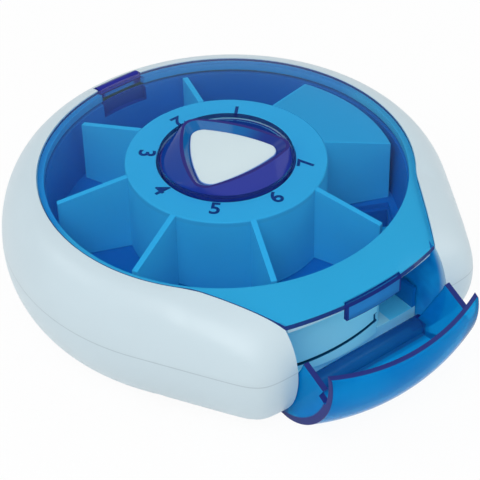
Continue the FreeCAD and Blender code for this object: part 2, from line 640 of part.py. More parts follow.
def door_pin(side):
    x0, x1 = sorted((side * (DOOR_HALF - DOOR_PIN_IN_BARREL), side * (MOUTH_HALF + HORN_WALL)))
    return bar_x(DOOR_PIN_R, x0, x1, DOOR_PIN_Y, DOOR_PIN_Z)


# ---------------------------------------------------------------- rotor
def rotor_top(drop):
    """Everything under the cone that the vanes' top edges follow."""
    slope = (HUB_TOP_Z - VANE_END_Z) / (VANE_R - HUB_R)
    outer = VANE_R + 5.0
    return turned([(0, 0), (outer, 0), (outer, VANE_END_Z - slope * 5.0 - drop),
                   (HUB_R, HUB_TOP_Z - drop), (0, HUB_TOP_Z - drop)])


def tray():
    wall = tube(HUB_R, HUB_R - HUB_WALL, ROTOR_Z, HUB_TOP_SEAT_Z)
    web = tube(HUB_R, FLANGE_R + RUN, ROTOR_Z, WEB_TOP_Z)
    ring = tube(VANE_R, HUB_R - HUB_WALL / 2, ROTOR_Z, FAR).common(rotor_top(0))
    vane = block(0, -VANE_T / 2, ROTOR_Z, FAR, VANE_T / 2, FAR)
    vanes = [rotated(vane, FIRST_VANE + k * STEP_ANGLE).common(ring) for k in range(STATIONS)]
    under_cover = tube(VANE_R - COVER_T, HUB_R - HUB_WALL, 0, FAR).common(rotor_top(COVER_T))
    closed_sector = ring.common(sector(0, STEP_ANGLE / 2, 0, FAR)).cut(under_cover)
    body = fused([wall, web, closed_sector] + vanes)
    seat = tube(HUB_R + 0.01, HUB_R - HUB_WALL - 1, HUB_TOP_SEAT_Z, FAR)
    groove = Part.makeTorus(BALL_TRACK_R, BALL_R + SLIP, Vector(0, 0, ball_z()))
    dimples = []
    for k in range(STATIONS):
        place = polar(BALL_TRACK_R, DETENT_ANGLE + k * STEP_ANGLE, ball_z() + DIMPLE_DEPTH)
        dimples.append(Part.makeSphere(BALL_R, place))
    return body.cut(dimples + [groove, seat])


def ball_z():
    return CUP_FLOOR_Z + BALL_RISE - BALL_R + FLOAT


def dial_ring():
    plate = tube(HUB_R, DIAL_BORE_R, HUB_TOP_SEAT_Z, HUB_TOP_Z)
    rim = [edge for edge in plate.Edges
           if abs(edge.BoundBox.ZMin - HUB_TOP_Z) < 1e-6 and edge.BoundBox.XMax > HUB_R - 0.1]
    plate = plate.makeFillet(min(EDGE, DIAL_T / 3), [e for e in rim if e.BoundBox.ZLength < 1e-6])
    spigot_r = HUB_R - HUB_WALL - RUN
    spigot = tube(spigot_r, spigot_r - DIAL_SPIGOT, HUB_TOP_SEAT_Z - DIAL_SPIGOT, HUB_TOP_SEAT_Z)
    return plate.fuse(spigot).removeSplitter()


def ratchet_ring():
    ring = tube(RATCHET_R1, RATCHET_R0, WEB_TOP_Z, WEB_TOP_Z + RATCHET_T)
    top = WEB_TOP_Z + RATCHET_T
    face = Part.Face(Part.makePolygon([
        Vector(0, -TOOTH_L / 2, top - 0.2), Vector(0, TOOTH_L / 2, top - 0.2),
        Vector(0, TOOTH_L / 2, top + TOOTH_H), Vector(0, -TOOTH_L / 2, top - 0.2)]))
    tooth = face.extrude(Vector(RATCHET_R1 + 5, 0, 0)).common(tube(RATCHET_R1, RATCHET_R0, 0, FAR))
    teeth = [rotated(tooth, k * STEP_ANGLE) for k in range(STATIONS)]
    return fused([ring] + teeth)


# ---------------------------------------------------------------- drive
def spindle():
    flange = cylinder(FLANGE_R, CUP_FLOOR_Z, FLANGE_TOP_Z)
    tenon = cylinder(TENON_R, TENON_FLOOR_Z, CUP_FLOOR_Z)
    shaft = cylinder(SPINDLE_R, FLANGE_TOP_Z, HEX_Z0)
    hexagon = Part.makePolygon([polar(HEX_AF / math.sqrt(3), 60 * k) for k in range(7)])
    post = prism(hexagon, HEX_Z0, SPINDLE_TOP_Z)
    body = fused([flange.cut(flange_holes()), tenon, shaft, post])
    return body.cut(cylinder(SCREW_SHANK_R, SPINDLE_TOP_Z - 7, FAR))


def screw(head_z, direction, length):
    """Pan-head screw: the head's seat at head_z, the shank along direction (+1 up, -1 down)."""
    low, high = sorted((head_z, head_z + direction * length))
    head_low, head_high = sorted((head_z, head_z - direction * SCREW_HEAD_T))
    return cylinder(SCREW_SHANK_R, low, high).fuse(cylinder(SCREW_HEAD_R, head_low, head_high))


def copies_at(solid, places):
    """One solid per place, as a group."""
    copies = []
    for place in places:
        copy = solid.copy()
        copy.translate(place)
        copies.append(copy)
    return Part.makeCompound(copies)


def spindle_screws():
    shank = cylinder(FLANGE_SCREW_R, FLANGE_HEAD_Z - FLANGE_SCREW_LENGTH, FLANGE_HEAD_Z)
    head = cylinder(FLANGE_HEAD_R, FLANGE_HEAD_Z, FLANGE_HEAD_Z + FLANGE_HEAD_T)
    return copies_at(shank.fuse(head), flange_screw_places())


def retaining_screw():
    return screw(SPINDLE_TOP_Z + WASHER_T, -1, 6.0)


def retaining_washer():
    return tube(WASHER_R, SCREW_SHANK_R + 0.1, SPINDLE_TOP_Z, SPINDLE_TOP_Z + WASHER_T)


def housing_screws():
    return copies_at(screw(HOUSING_HEAD_Z, 1, SCREW_LENGTH), boss_places())


def slot_cutter(start_angle):
    """Helical slot that the button's lug follows while the cam turns one step."""
    drop = BUTTON_TRAVEL
    steps = 12
    cuts = []
    radius = LUG_R + SLOT_GAP
    for k in range(steps + 1):
        share = k / steps
        z = LUG_Z - drop * share
        hole = Part.makeCylinder(radius, CAM_R, Vector(0, 0, z), polar(1, start_angle))
        cuts.append(rotated(hole, STEP_ANGLE * share))
    return fused(cuts)


def drive_cam():
    sleeve = tube(CAM_R, CAM_R - CAM_WALL, CAM_Z, CAM_TOP_Z)
    base = tube(CAM_R, SPINDLE_R + CAM_BORE_GAP, CAM_Z, CAM_BASE_TOP_Z)
    cam = sleeve.fuse(base)
    for start in (0, 180):
        cam = cam.cut(slot_cutter(start).cut(cylinder(TUBE_R - 1, 0, FAR)))
    return cam.removeSplitter()


def drive_pawls():
    ring = tube(CAM_R + PAWL_RING_W, CAM_R, CAM_Z, CAM_BASE_TOP_Z)
    tip_z = WEB_TOP_Z + RATCHET_T + TOOTH_H + SLIP
    arm_r = (RATCHET_R0 + RATCHET_R1) / 2
    parts = [ring]
    for start in (20, 200):
        arc = tube(arm_r + PAWL_ARM_W / 2, arm_r - PAWL_ARM_W / 2, tip_z, tip_z + PAWL_T)
        parts.append(arc.common(sector(start + PAWL_SWEEP / 2, PAWL_SWEEP / 2, 0, FAR)))
        spoke = block(CAM_R + 0.2, -1.5, tip_z, arm_r + PAWL_ARM_W / 2, 1.5, tip_z + PAWL_T)
        parts.append(rotated(spoke, start + 4))
    riser = tube(CAM_R + PAWL_RING_W, CAM_R, CAM_Z, tip_z + PAWL_T)
    parts.append(riser)
    return fused(parts)


def coil(mean_r, wire_r, z0, z1, turns, x=0.0, y=0.0):
    """Compression spring between two faces: an eight-sided wire along short straight runs."""
    count = int(turns * COIL_RUNS)
    rise = (z1 - z0 - 2 * wire_r) / count
    points = [polar(mean_r, 360.0 * k / COIL_RUNS, z0 + wire_r + rise * k) for k in range(count + 1)]
    along = (points[1] - points[0]).normalize()
    outward = Vector(1, 0, 0)
    outward = (outward - along * outward.dot(along)).normalize()
    upward = along.cross(outward)
    corners = []
    for k in range(9):
        turn = math.radians(45 * k + 22.5)
        corners.append(points[0] + outward * (wire_r * math.cos(turn)) + upward * (wire_r * math.sin(turn)))
    section = Part.makePolygon(corners)
    body = Part.makePolygon(points).makePipeShell([section], True, False, 1)
    body.translate(Vector(x, y, 0))
    return body


def return_spring():
    return coil(SPRING_R, SPRING_WIRE_R, CAM_BASE_TOP_Z, BUTTON_FLOOR_Z, SPRING_TURNS)


def detent_ball():
    return Part.makeSphere(BALL_R, polar(BALL_TRACK_R, DETENT_ANGLE, ball_z()))


def detent_spring():
    place = polar(BALL_TRACK_R, DETENT_ANGLE)
    return coil(DETENT_SPRING_R, DETENT_WIRE_R, DETENT_POCKET_FLOOR_Z, ball_z() - BALL_R + 0.35,
                DETENT_TURNS, place.x, place.y)


# ---------------------------------------------------------------- button
def rounded_triangle(corner_r, side_r, corner_round):
    """Bulged triangle, a corner to the back: corner arcs and side arcs that meet smoothly."""
    reach = corner_r - corner_round
    gap = side_r - corner_round
    # side arcs: radius R about a centre behind the middle of each side
    back = (reach * reach - gap * gap) / (2 * gap - reach)
    radius = side_r + back
    edges = []
    for k in range(3):
        heading = 90 + 120 * k
        corner = polar(reach, heading)
        centre_after = polar(-back, heading + 60)
        centre_before = polar(-back, heading - 60)
        after = corner + (corner - centre_after).normalize() * corner_round
        before = corner + (corner - centre_before).normalize() * corner_round
        edges.append(arc_through(before, polar(corner_r, heading), after))
        next_corner = polar(reach, heading + 120)
        arrive = next_corner + (next_corner - centre_after).normalize() * corner_round
        edges.append(arc_through(after, polar(side_r, heading + 60), arrive))
    return Part.Wire(edges)


def push_button():
    skirt = cylinder(BUTTON_R, BUTTON_FLOOR_Z, BUTTON_SHOULDER_Z)
    rim = rounded_triangle(RIM_CORNER_R, RIM_SIDE_R, CORNER_ROUND)
    rim.translate(Vector(0, 0, BUTTON_TOP_Z))
    base = rounded_triangle(BUTTON_R - 0.02, BUTTON_R - 0.35, BUTTON_R - 1.5)
    base.translate(Vector(0, 0, BUTTON_SHOULDER_Z))
    crown = Part.makeLoft([base, rim], True, True)
    body = skirt.fuse(crown)
    body = body.cut(cylinder(BUTTON_R - BUTTON_WALL, BUTTON_FLOOR_Z + BUTTON_FLOOR_T,
                             BUTTON_SHOULDER_Z - 1.2))
    pocket = rounded_triangle(PAD_CORNER_R + SLIP, PAD_SIDE_R + SLIP, CORNER_ROUND + SLIP)
    body = body.cut(prism(pocket, PAD_SEAT_Z, RIM_SLOPE_Z))
    foot = rounded_triangle(PAD_CORNER_R + SLIP, PAD_SIDE_R + SLIP, CORNER_ROUND + SLIP)
    foot.translate(Vector(0, 0, RIM_SLOPE_Z))
    brow = rounded_triangle(RIM_CORNER_R - RIM_LIP, RIM_SIDE_R - RIM_LIP, CORNER_ROUND)
    brow.translate(Vector(0, 0, BUTTON_TOP_Z))
    body = body.cut(Part.makeLoft([foot, brow], True, True))
    opening = rounded_triangle(PAD_CORNER_R - PAD_SEAT_LEDGE, PAD_SIDE_R - PAD_SEAT_LEDGE,
                               CORNER_ROUND - PAD_SEAT_LEDGE / 2)
    body = body.cut(prism(opening, BUTTON_SHOULDER_Z - 3, FAR))
    guide = tube(TUBE_R, TUBE_R - TUBE_WALL, TUBE_BOTTOM_Z, BUTTON_FLOOR_Z)
    lugs = [Part.makeCylinder(LUG_R, CAM_R - SLIP - TUBE_R + 0.6, polar(TUBE_R - 0.6, a, LUG_Z),
                              polar(1, a)) for a in (0, 180)]
    body = fused([body, guide] + lugs)
    hexagon = Part.makePolygon([polar((HEX_AF / 2 + SLIP) * 2 / math.sqrt(3), 60 * k)
                                for k in range(7)])
    return body.cut(prism(hexagon, BUTTON_FLOOR_Z - 1, BUTTON_FLOOR_Z + BUTTON_FLOOR_T + 1))


def button_pad():
    pad = prism(rounded_triangle(PAD_CORNER_R, PAD_SIDE_R, CORNER_ROUND), PAD_SEAT_Z, PAD_TOP_Z)
    top = [edge for edge in pad.Edges if edge.BoundBox.ZMin > PAD_TOP_Z - 1e-6]
    return pad.makeFillet(EDGE, top)


# ---------------------------------------------------------------- build
def main():
    os.makedirs("parts", exist_ok=True)
    nodes = {
        "upper_housing": upper_housing(),
        "lower_housing": lower_housing(),
        "inner_cup": inner_cup(),
        "pill_chute": pill_chute(),
        "lid": lid(),
        "lid_hinge_pin": lid_hinge_pin(),
        "door": door(),
        "door_pin_left": door_pin(-1),
        "door_pin_right": door_pin(1),
        "tray": tray(),
        "dial_ring": dial_ring(),
        "ratchet_ring": ratchet_ring(),
        "spindle": spindle(),
        "spindle_screws": spindle_screws(),
        "retaining_washer": retaining_washer(),
        "retaining_screw": retaining_screw(),
        "drive_cam": drive_cam(),
        "drive_pawls": drive_pawls(),
        "return_spring": return_spring(),
        "detent_ball": detent_ball(),
        "detent_spring": detent_spring(),
        "push_button": push_button(),
        "button_pad": button_pad(),
        "housing_screws": housing_screws(),
    }
    for name, shape in nodes.items():
        shape.exportStep(f"parts/{name}.step")
        box = shape.optimalBoundingBox(False)
        print(f"{name:18s} solids {len(shape.Solids)} valid {shape.isValid()} vol {shape.Volume:9.1f}"
              f" x {box.XMin:6.1f} {box.XMax:6.1f} y {box.YMin:6.1f} {box.YMax:6.1f}"
              f" z {box.ZMin:5.1f} {box.ZMax:5.1f}")


main()
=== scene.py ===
import math

import bpy
from mathutils import Matrix, Vector


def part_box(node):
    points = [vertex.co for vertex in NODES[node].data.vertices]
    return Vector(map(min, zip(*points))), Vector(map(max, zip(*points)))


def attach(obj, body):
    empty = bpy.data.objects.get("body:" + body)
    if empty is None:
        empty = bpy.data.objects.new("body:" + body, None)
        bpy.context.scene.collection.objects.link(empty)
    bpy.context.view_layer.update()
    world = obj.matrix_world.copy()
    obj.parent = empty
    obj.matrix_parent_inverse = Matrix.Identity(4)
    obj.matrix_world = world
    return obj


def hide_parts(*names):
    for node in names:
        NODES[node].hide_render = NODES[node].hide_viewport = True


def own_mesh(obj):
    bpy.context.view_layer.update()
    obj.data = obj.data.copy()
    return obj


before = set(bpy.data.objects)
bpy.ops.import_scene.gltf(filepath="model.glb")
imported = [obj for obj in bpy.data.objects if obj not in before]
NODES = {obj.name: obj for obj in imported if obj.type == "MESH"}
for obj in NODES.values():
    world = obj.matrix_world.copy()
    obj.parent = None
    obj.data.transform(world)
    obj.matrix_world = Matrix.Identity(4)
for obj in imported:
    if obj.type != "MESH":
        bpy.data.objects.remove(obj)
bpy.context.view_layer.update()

MM = 0.001


def edge(start, end):
    """A soft edge of a coloured zone: where it starts and where it is complete, in mm."""
    return start * MM, end * MM


def add_object(name, data):
    item = bpy.data.objects.new(name, data)
    bpy.context.scene.collection.objects.link(item)
    return item


# ---------------------------------------------------------------- camera
AZIMUTH = -36.86            # degrees, from straight ahead
ELEVATION = 39.9
ROLL = -1.39
DISTANCE = 0.450            # metres from the target
TARGET = Vector((-0.01614, -0.0268, 0.036))
LENS = 134.06               # focal length in mm, on a sensor this wide
SENSOR = 36.0
NEAREST = 0.01              # metres


def make_camera():
    az, el, roll = (math.radians(angle) for angle in (AZIMUTH, ELEVATION, ROLL))
    out = Vector((math.sin(az) * math.cos(el), -math.cos(az) * math.cos(el), math.sin(el)))
    right = Vector((math.cos(az), math.sin(az), 0.0))
    up = out.cross(right)
    right, up = (right * math.cos(roll) + up * math.sin(roll),
                 up * math.cos(roll) - right * math.sin(roll))
    data = bpy.data.cameras.new("camera")
    data.lens = LENS
    data.sensor_width = SENSOR
    data.clip_start = NEAREST
    camera = add_object("camera", data)
    camera.location = TARGET + out * DISTANCE
    camera.rotation_euler = Matrix((right, up, out)).transposed().to_euler()
    bpy.context.scene.camera = camera


# ---------------------------------------------------------------- node helpers
GRAIN_SCALE = 900.0         # of a moulding's fine texture
GRAIN_DEPTH = 0.2 * MM
DRIFT_SCALE = 45.0          # of the slow drift in a moulding's tone
DRIFT_LIMITS = (0.3, 0.7)   # of the noise, where the drift has its two tones


def new_material(name):
    """A material, its node tree and its first shader."""
    material = bpy.data.materials.new(name)
    material.use_nodes = True
    tree = material.node_tree
    return material, tree, tree.nodes["Principled BSDF"]


def feed(tree, value, socket):
    """Link a socket's value, or set a number or a colour."""
    if isinstance(value, bpy.types.NodeSocket):
        tree.links.new(value, socket)
    elif socket.type == "RGBA":
        socket.default_value = (*value, 1.0)
    else:
        socket.default_value = value


def maths(tree, operation, first, second=None):
    """One Math node; each operand is a number or a socket."""
    node = tree.nodes.new("ShaderNodeMath")
    node.operation = operation
    feed(tree, first, node.inputs[0])
    if second is not None:
        feed(tree, second, node.inputs[1])
    return node.outputs[0]


def plus(tree, first, second):
    return maths(tree, "ADD", first, second)


def minus(tree, first, second):
    return maths(tree, "SUBTRACT", first, second)


def times(tree, first, second):
    return maths(tree, "MULTIPLY", first, second)


def size_of(tree, value):
    return maths(tree, "ABSOLUTE", value)


def squares(tree, first, second):
    """The sum of two squares."""
    return plus(tree, times(tree, first, first), times(tree, second, second))


def distance(tree, first, second):
    return maths(tree, "SQRT", squares(tree, first, second))


def rise(tree, value, limits):
    """0 at the first limit, 1 at the second, smooth between."""
    node = tree.nodes.new("ShaderNodeMapRange")
    node.interpolation_type = "SMOOTHSTEP"
    node.inputs["From Min"].default_value, node.inputs["From Max"].default_value = limits
    tree.links.new(value, node.inputs["Value"])
    return node.outputs["Result"]


def outside(tree, mask):
    return minus(tree, 1.0, mask)


def below(tree, value, limits):
    """1 under the first limit, 0 over the second, smooth between."""
    return outside(tree, rise(tree, value, limits))


def join_masks(tree, operation, masks):
    total = masks[0]
    for mask in masks[1:]:
        total = maths(tree, operation, total, mask)
    return total


def both(tree, *masks):
    return join_masks(tree, "MULTIPLY", masks)


def either(tree, *masks):
    return join_masks(tree, "MAXIMUM", masks)


class Axes:
    """A surface point and its flat normal in the object's own frame."""

    def __init__(self, tree):
        coords = tree.nodes.new("ShaderNodeTexCoord")
        self.point = coords.outputs["Object"]
        self.x, self.y, self.z = self.split(tree, self.point)
        geometry = tree.nodes.new("ShaderNodeNewGeometry")
        local = tree.nodes.new("ShaderNodeVectorTransform")
        local.vector_type = "NORMAL"
        local.convert_from = "WORLD"
        local.convert_to = "OBJECT"
        tree.links.new(geometry.outputs["True Normal"], local.inputs["Vector"])
        self.nx, self.ny, self.nz = self.split(tree, local.outputs["Vector"])
        self.side = size_of(tree, self.x)

    @staticmethod
    def split(tree, vector):
        node = tree.nodes.new("ShaderNodeSeparateXYZ")
        tree.links.new(vector, node.inputs["Vector"])
        return node.outputs


def blend_colour(tree, factor, first, second):
    """Colour first where the factor is 0, second where it is 1."""
    node = tree.nodes.new("ShaderNodeMix")
    node.data_type = "RGBA"
    tree.links.new(factor, node.inputs["Factor"])
    feed(tree, first, node.inputs["A"])
    feed(tree, second, node.inputs["B"])
    return node.outputs["Result"]


def noise_field(tree, point, scale, detail):
    noise = tree.nodes.new("ShaderNodeTexNoise")
    noise.inputs["Scale"].default_value = scale
    noise.inputs["Detail"].default_value = detail
    tree.links.new(point, noise.inputs["Vector"])
    return noise.outputs["Fac"]


def fine_bump(tree, shader, point, strength, scale=GRAIN_SCALE, depth=GRAIN_DEPTH, detail=4.0):
    """Fine moulding texture from noise in object space."""
    bump = tree.nodes.new("ShaderNodeBump")
    bump.inputs["Strength"].default_value = strength
    bump.inputs["Distance"].default_value = depth
    tree.links.new(noise_field(tree, point, scale, detail), bump.inputs["Height"])
    tree.links.new(bump.outputs["Normal"], shader.inputs["Normal"])


def cloudy(tree, point, pair, scale=DRIFT_SCALE):
    """A slow drift between a pair of tones."""
    drift = rise(tree, noise_field(tree, point, scale, detail=2.0), DRIFT_LIMITS)
    return blend_colour(tree, drift, *pair)


def tones(colour, spread=0.02):
    """The colour a little darker and a little paler."""
    return [c * (1.0 - spread) for c in colour], [min(1.0, c * (1.0 + spread)) for c in colour]


def soft_body(shader, roughness, subsurface, reach=2.0 * MM):
    """Plastic that lets a little light in."""
    shader.inputs["Roughness"].default_value = roughness
    shader.inputs["Subsurface Weight"].default_value = subsurface
    shader.inputs["Subsurface Radius"].default_value = (reach, reach, reach)
    shader.inputs["Subsurface Scale"].default_value = 1.0


def clear_shader(tree, axes, tint, roughness, ior):
    """Tinted clear plastic with a faint ripple."""
    glass = tree.nodes.new("ShaderNodeBsdfPrincipled")
    fine_bump(tree, glass, axes.point, strength=0.02, scale=160.0, depth=0.3 * MM, detail=2.0)
    feed(tree, tint, glass.inputs["Base Color"])
    glass.inputs["Roughness"].default_value = roughness
    glass.inputs["Transmission Weight"].default_value = 1.0
    glass.inputs["IOR"].default_value = ior
    return glass.outputs["BSDF"]


def gloss_shader(tree, axes, colour, roughness, level, coat=0.0):
    """Smooth plastic in one colour or in a painted one."""
    gloss = tree.nodes.new("ShaderNodeBsdfPrincipled")
    fine_bump(tree, gloss, axes.point, strength=0.03, scale=300.0)
    feed(tree, colour, gloss.inputs["Base Color"])
    gloss.inputs["Roughness"].default_value = roughness
    gloss.inputs["Specular IOR Level"].default_value = level
    gloss.inputs["Coat Weight"].default_value = coat
    gloss.inputs["Coat Roughness"].default_value = 0.05
    return gloss.outputs["BSDF"]


def mix_shader(tree, factor, first, second):
    node = tree.nodes.new("ShaderNodeMixShader")
    feed(tree, factor, node.inputs["Fac"])
    tree.links.new(first, node.inputs[1])
    tree.links.new(second, node.inputs[2])
    return node.outputs["Shader"]


def let_light_through(tree, surface, tint):
    """Light that only fills or shadows passes straight through with the plastic's tint."""
    clear = tree.nodes.new("ShaderNodeBsdfTransparent")
    feed(tree, tint, clear.inputs["Color"])
    path = tree.nodes.new("ShaderNodeLightPath")
    light = either(tree, path.outputs["Is Shadow Ray"], path.outputs["Is Diffuse Ray"])
    mixed = mix_shader(tree, light, surface, clear.outputs["BSDF"])
    tree.links.new(mixed, tree.nodes["Material Output"].inputs["Surface"])


# ---------------------------------------------------------------- plain plastic and metal
VIOLET = (0.020, 0.022, 0.180)          # cut edges of the clear blue plastic
HINGE_VIOLET = (0.022, 0.026, 0.300)


def opaque_plastic(name, colour, roughness, level=0.5):
    material, tree, shader = new_material(name)
    axes = Axes(tree)
    fine_bump(tree, shader, axes.point, strength=0.06)
    base = cloudy(tree, axes.point, tones(colour))
    tree.links.new(base, shader.inputs["Base Color"])
    soft_body(shader, roughness, subsurface=0.05)
    shader.inputs["Specular IOR Level"].default_value = level
    return material


def metal(name, colour, roughness):
    material, tree, shader = new_material(name)
    fine_bump(tree, shader, Axes(tree).point, strength=0.05, scale=2500.0)
    feed(tree, colour, shader.inputs["Base Color"])
    shader.inputs["Metallic"].default_value = 1.0
    shader.inputs["Roughness"].default_value = roughness
    return material


# ---------------------------------------------------------------- shell
SHELL_WHITE = (0.60, 0.72, 0.78)
PARTING_Z = 20.0 * MM                   # where the two shells meet
# painted shade: a grey line along the seam where the two shells meet
PARTING_SHADE_HALF = edge(0.06, 0.24)
PARTING_SHADE_GREY = (0.30, 0.40, 0.46)
PARTING_SHADE_SHARE = 0.45
HORN_AHEAD = 46.0 * MM                  # centre of a horn's round end, ahead of the axis
HORN_HALF_Y = 14.4 * MM
HORN_HALF_Z = 18.0 * MM                 # half its height, and its centre's height
HORN_BORDER = (0.62, 0.97)              # of the squared reach, which is 1 at the shell's curve
HORN_FACING = (0.9, 0.97)               # |nx| of the flat ends
HORN_SIDE = edge(24.6, 24.8)
HORN_FRONT_Y = edge(-40.0, -38.0)
HORN_BLUES = (0.0, 0.24, 0.62), (0.01, 0.46, 0.86)
BEHIND_SIDE = edge(7.2, 7.3)            # the patch behind the lid's hinge
BEHIND_START_Y = edge(46.0, 46.2)
BEHIND_END_Y = edge(52.3, 52.4)
LEDGE_RADIUS = edge(50.0, 50.1)         # the ledge below the lid, toned at the back
LEDGE_Z = edge(30.0, 31.0)
LEDGE_Y = edge(0.0, 12.0)
LEDGE_BLUE = (0.10, 0.40, 0.72)
LEDGE_SHARE = 0.8
FOOT_SHADE_Z = edge(0.0, 7.5)                 # painted shade: the shell darker towards its underside, by the floor
FOOT_SHADE_GREY = (0.30, 0.42, 0.44)
FOOT_SHADE_SHARE = 0.6


def horn_mask(tree, axes):
    """The horns' flat end faces, but for a border along the shell's curve."""
    across = maths(tree, "DIVIDE", plus(tree, axes.y, HORN_AHEAD), HORN_HALF_Y)
    height = maths(tree, "DIVIDE", minus(tree, axes.z, HORN_HALF_Z), HORN_HALF_Z)
    return both(tree, below(tree, squares(tree, across, height), HORN_BORDER),
                rise(tree, size_of(tree, axes.nx), HORN_FACING),
                below(tree, axes.side, HORN_SIDE), below(tree, axes.y, HORN_FRONT_Y))


def shell_plastic(name):
    """White moulding: painted shade along its parting, blue ends of the horns, violet behind the
    hinge.
    """
    material, tree, shader = new_material(name)
    axes = Axes(tree)
    fine_bump(tree, shader, axes.point, strength=0.05, scale=1100.0)
    base = cloudy(tree, axes.point, tones(SHELL_WHITE, spread=0.015), scale=30.0)
    # painted shade of the seam between the two shells
    off_parting = size_of(tree, minus(tree, axes.z, PARTING_Z))
    parting_shade = times(tree, below(tree, off_parting, PARTING_SHADE_HALF), PARTING_SHADE_SHARE)
    base = blend_colour(tree, parting_shade, base, PARTING_SHADE_GREY)
    horn = horn_mask(tree, axes)
    base = blend_colour(tree, horn, base, cloudy(tree, axes.point, HORN_BLUES, scale=110.0))
    behind = both(tree, below(tree, axes.side, BEHIND_SIDE), rise(tree, axes.y, BEHIND_START_Y),
                  below(tree, axes.y, BEHIND_END_Y))
    base = blend_colour(tree, behind, base, HINGE_VIOLET)
    ledge = both(tree, below(tree, distance(tree, axes.x, axes.y), LEDGE_RADIUS),
                 rise(tree, axes.z, LEDGE_Z), rise(tree, axes.y, LEDGE_Y))
    base = blend_colour(tree, times(tree, ledge, LEDGE_SHARE), base, LEDGE_BLUE)
    # painted shade: darker towards the floor, but not on the horns' ends
    foot_shade = both(tree, below(tree, axes.z, FOOT_SHADE_Z), outside(tree, horn))
    base = blend_colour(tree, times(tree, foot_shade, FOOT_SHADE_SHARE), base, FOOT_SHADE_GREY)
    tree.links.new(base, shader.inputs["Base Color"])
    soft_body(shader, roughness=0.36, subsurface=0.08, reach=3.0 * MM)
    return material


# ---------------------------------------------------------------- cup
CUP_BLUES = (0.008, 0.235, 0.56), (0.012, 0.265, 0.62)
NICHE_BLUE = (0.005, 0.06, 0.33)
NICHE_SIDE = edge(7.1, 7.3)
NICHE_Y = edge(40.0, 40.2)
NICHE_Z = edge(27.8, 28.0)


def cup_plastic(name):
    """Blue moulding, dark in the niche below the lid's hinge."""
    material, tree, shader = new_material(name)
    axes = Axes(tree)
    fine_bump(tree, shader, axes.point, strength=0.05)
    base = cloudy(tree, axes.point, CUP_BLUES)
    niche = both(tree, below(tree, axes.side, NICHE_SIDE), rise(tree, axes.y, NICHE_Y),
                 rise(tree, axes.z, NICHE_Z))
    tree.links.new(blend_colour(tree, niche, base, NICHE_BLUE), shader.inputs["Base Color"])
    soft_body(shader, roughness=0.3, subsurface=0.0)
    shader.inputs["Specular IOR Level"].default_value = 0.15
    return material


# ---------------------------------------------------------------- rotor
ROTOR_WHITE = (0.60, 0.79, 0.92)
# painted shade: the closed sector's top is the rotor's own white, painted a tone darker
SECTOR_SHADE_WHITE = (0.49, 0.62, 0.76)
SECTOR_SLOPE = math.tan(math.radians(45.0 / 2))     # the closed sector lies about +X
SECTOR_EDGE = edge(-1.0, 0.0)
SECTOR_FACING = (0.8, 0.9)              # nz of the sector's top
SECTOR_Z = edge(31.0, 32.0)


def tray_plastic(name):
    """White rotor, with painted shade: a tone darker on the closed sector's top."""
    material, tree, shader = new_material(name)
    axes = Axes(tree)
    fine_bump(tree, shader, axes.point, strength=0.06)
    base = cloudy(tree, axes.point, tones(ROTOR_WHITE))
    wedge = minus(tree, times(tree, axes.x, SECTOR_SLOPE), size_of(tree, axes.y))
    cover = both(tree, rise(tree, wedge, SECTOR_EDGE), rise(tree, axes.nz, SECTOR_FACING),
                 rise(tree, axes.z, SECTOR_Z))
    tree.links.new(blend_colour(tree, cover, base, SECTOR_SHADE_WHITE), shader.inputs["Base Color"])
    soft_body(shader, roughness=0.4, subsurface=0.05)
    shader.inputs["Specular IOR Level"].default_value = 0.2
    return material


# ---------------------------------------------------------------- front panel and chute
# painted light and shade on white plastic: pale blue where blue light falls on the panel, made
# paler against its shade; lit blue on the chute's floor; deep blue shade on its far walls
PANEL_LIT_BLUES = (0.48, 0.87, 0.95), (0.51, 0.91, 0.98)
CHUTE_FLOOR_LIT_BLUE = (0.14, 0.74, 0.97)
CHUTE_WALL_SHADE_BLUE = (0.003, 0.20, 0.52)
# painted shadow of the slit, a band wider than the slit itself
SLIT_SHADOW_BLUE = (0.0, 0.06, 0.14)
CHUTE_X = edge(15.2, 15.6)              # the chute lies to the right of the panel
CHUTE_FACING = (0.6, 0.8)               # nz of the chute's floor
CHUTE_FLOOR_TOP_Z = edge(8.8, 9.0)
CHUTE_WALL_FOOT_Z = edge(6.7, 6.9)
PANEL_RADIUS = edge(50.2, 50.3)         # the panel's outer face
PANEL_Y = edge(-35.0, -34.0)
SLIT_CLIMB = 3.2 / 35.0                 # rise of the panel's slit along X
SLIT_MIDDLE = 10.1 * MM                 # its height on the axis
SLIT_HALF = edge(0.5, 0.6)
SLIT_END_X = edge(9.85, 9.9)
UPTURN_X = edge(8.4, 8.6)
UPTURN_FOOT_Z = edge(10.2, 10.3)
UPTURN_TOP_Z = edge(13.3, 13.5)


def slit_mask(tree, axes):
    """Painted shadow of the slit on the panel's outer face: it climbs to the right and turns up at
    its end.
    """
    line = plus(tree, times(tree, axes.x, SLIT_CLIMB), SLIT_MIDDLE)
    off_line = size_of(tree, minus(tree, axes.z, line))
    upturn = both(tree, rise(tree, axes.x, UPTURN_X), rise(tree, axes.z, UPTURN_FOOT_Z),
                  below(tree, axes.z, UPTURN_TOP_Z))
    face = both(tree, rise(tree, distance(tree, axes.x, axes.y), PANEL_RADIUS),
                below(tree, axes.y, PANEL_Y), below(tree, axes.x, SLIT_END_X))
    return both(tree, either(tree, below(tree, off_line, SLIT_HALF), upturn), face)


